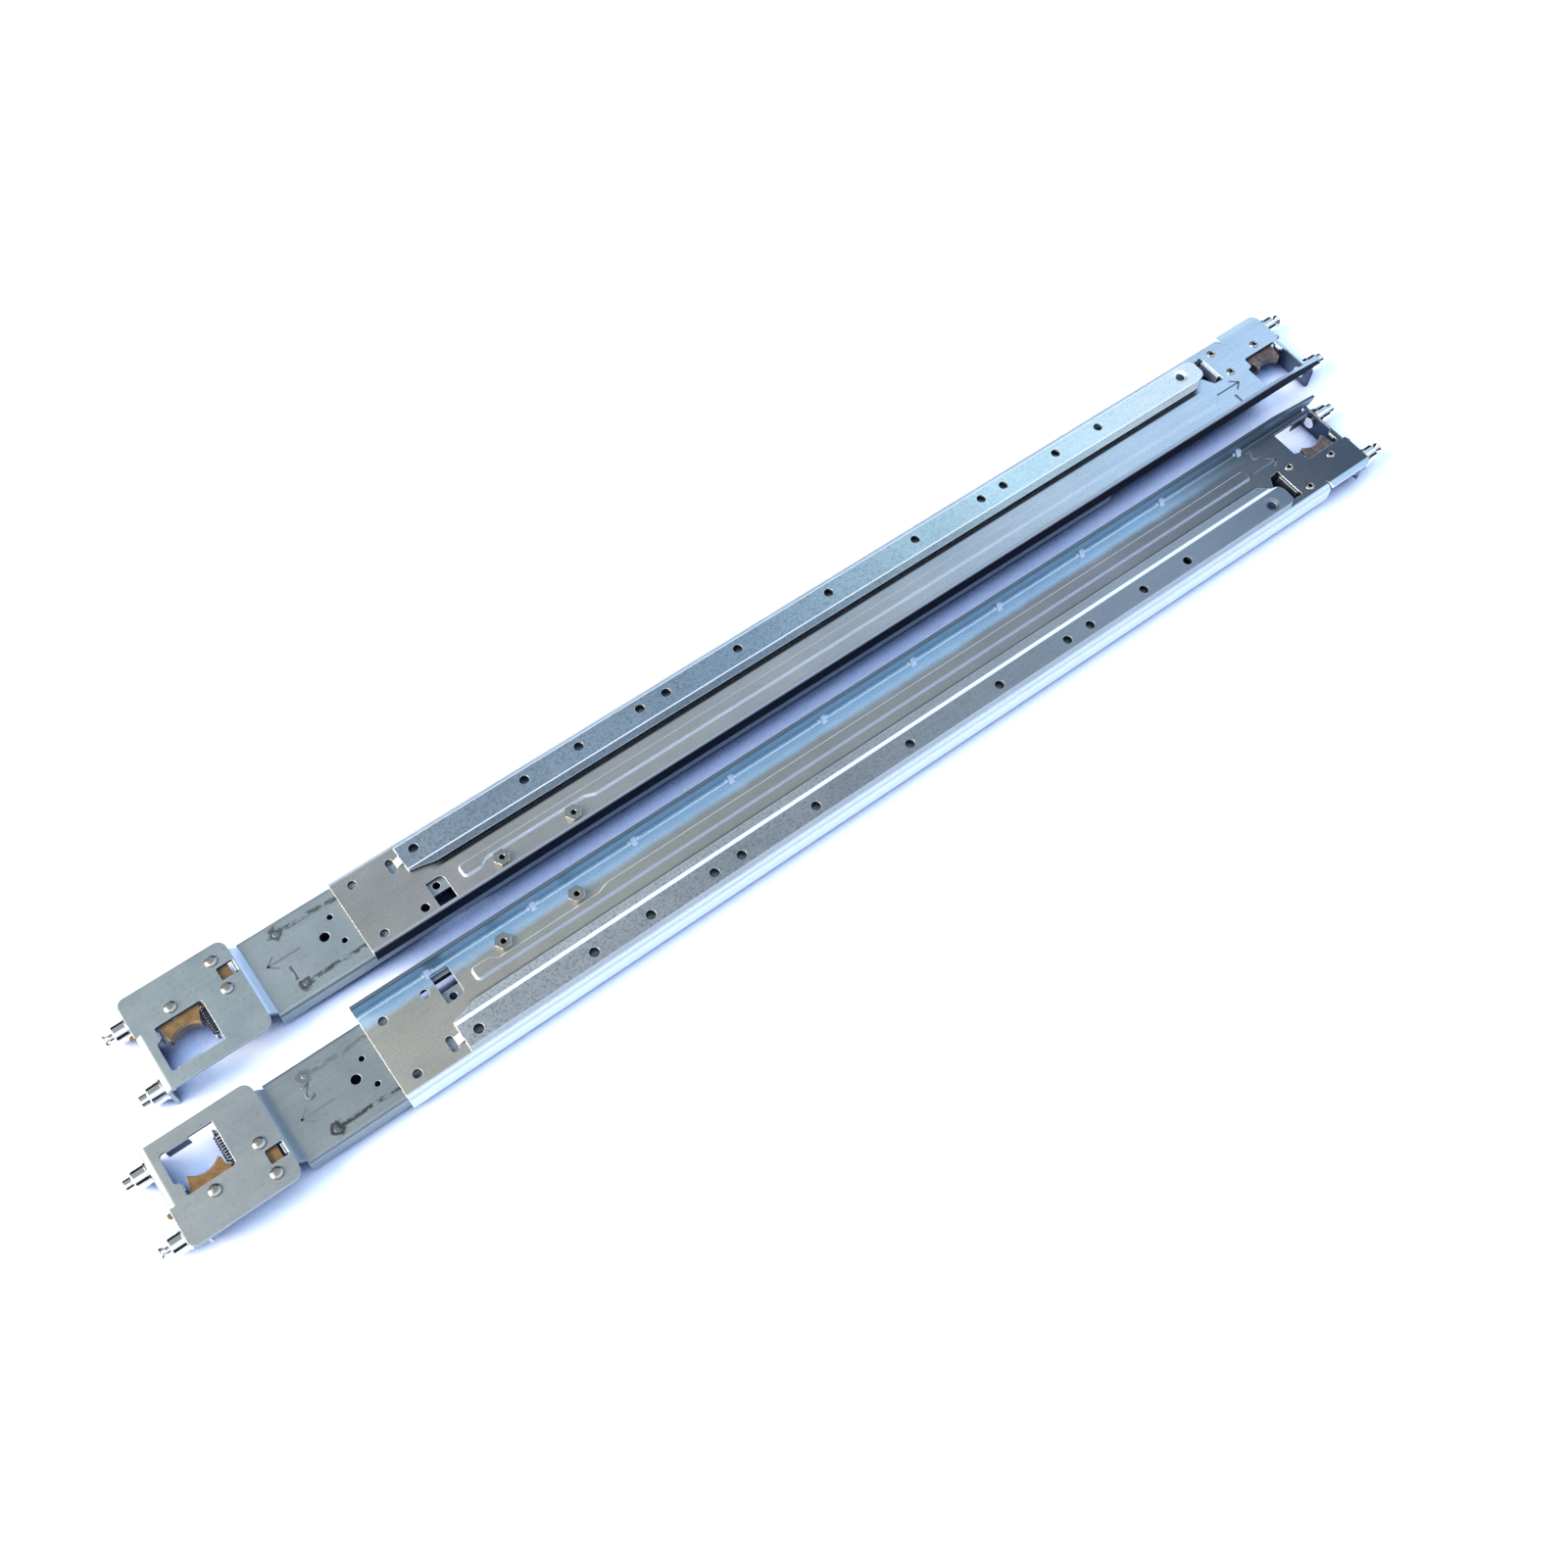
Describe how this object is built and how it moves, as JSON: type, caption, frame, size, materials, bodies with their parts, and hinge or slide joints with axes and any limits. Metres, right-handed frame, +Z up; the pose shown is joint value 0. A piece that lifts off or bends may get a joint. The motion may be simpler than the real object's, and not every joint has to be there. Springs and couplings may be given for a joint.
{
  "type": "sliding server rail pair",
  "caption": "Pair of telescopic sheet-steel rack rails with shelf flanges, sliding rear extensions and finger-latched locating pins at both ends.",
  "frame": {"origin": "bottom centre of the pair's bounding box, on the surface that the end flanges lie on", "axes": "+X along the rails towards the front ends, +Y towards the right rail, +Z up away from the table"},
  "size_m": [0.6794, 0.1068, 0.022],
  "materials": {
    "rail_steel": "galvanised, satin",
    "bright_steel": "bright zinc",
    "lever_steel": "brown coated, satin",
    "spring_steel": "black oxide",
    "pin_chrome": "bright nickel"
  },
  "bodies": {
    "channels": {"right_front_channel": "rail_steel", "right_slide_studs": "bright_steel", "right_stud_washers": "bright_steel", "right_front_latch_bracket": "rail_steel", "right_front_latch_rivets": "bright_steel", "right_front_latch_spring": "spring_steel", "right_front_inner_pin": "pin_chrome", "right_front_outer_pin": "pin_chrome", "left_front_channel": "rail_steel", "left_slide_studs": "bright_steel", "left_stud_washers": "bright_steel", "left_front_latch_bracket": "rail_steel", "left_front_latch_rivets": "bright_steel", "left_front_latch_spring": "spring_steel", "left_front_inner_pin": "pin_chrome", "left_front_outer_pin": "pin_chrome"},
    "right_extension": {"right_rear_extension": "rail_steel", "right_rear_latch_bracket": "rail_steel", "right_rear_latch_rivets": "bright_steel", "right_rear_latch_spring": "spring_steel", "right_rear_inner_pin": "pin_chrome", "right_rear_outer_pin": "pin_chrome"},
    "right_rear_lever": {"right_rear_latch_lever": "lever_steel"},
    "right_front_lever": {"right_front_latch_lever": "lever_steel"},
    "left_extension": {"left_rear_extension": "rail_steel", "left_rear_latch_bracket": "rail_steel", "left_rear_latch_rivets": "bright_steel", "left_rear_latch_spring": "spring_steel", "left_rear_inner_pin": "pin_chrome", "left_rear_outer_pin": "pin_chrome"},
    "left_rear_lever": {"left_rear_latch_lever": "lever_steel"},
    "left_front_lever": {"left_front_latch_lever": "lever_steel"}
  },
  "joints": [
    {"name": "right_slide", "type": "slide", "parent": "channels", "child": "right_extension", "axis": [-1, 0, 0], "range_m": [-0.042, 0.279]},
    {"name": "right_rear_lever_pivot", "type": "hinge", "parent": "right_extension", "child": "right_rear_lever", "pos_m": [-0.2691, 0.0323, 0.0126], "axis": [0, 0, -1], "range_deg": [0, 5], "stiffness_Nm_per_rad": 0.5, "springref_deg": -2.86, "deforming": ["right_rear_latch_spring"]},
    {"name": "right_front_lever_pivot", "type": "hinge", "parent": "channels", "child": "right_front_lever", "pos_m": [0.2909, 0.0305, 0.0106], "axis": [0, 0, 1], "range_deg": [0, 5], "stiffness_Nm_per_rad": 0.5, "springref_deg": -2.86, "deforming": ["right_front_latch_spring"]},
    {"name": "left_slide", "type": "slide", "parent": "channels", "child": "left_extension", "axis": [-1, 0, 0], "range_m": [-0.042, 0.279]},
    {"name": "left_rear_lever_pivot", "type": "hinge", "parent": "left_extension", "child": "left_rear_lever", "pos_m": [-0.2889, -0.0323, 0.0126], "axis": [0, 0, 1], "range_deg": [0, 5], "stiffness_Nm_per_rad": 0.5, "springref_deg": -2.86, "deforming": ["left_rear_latch_spring"]},
    {"name": "left_front_lever_pivot", "type": "hinge", "parent": "channels", "child": "left_front_lever", "pos_m": [0.2711, -0.0305, 0.0106], "axis": [0, 0, -1], "range_deg": [0, 5], "stiffness_Nm_per_rad": 0.5, "springref_deg": -2.86, "deforming": ["left_front_latch_spring"]}
  ]
}
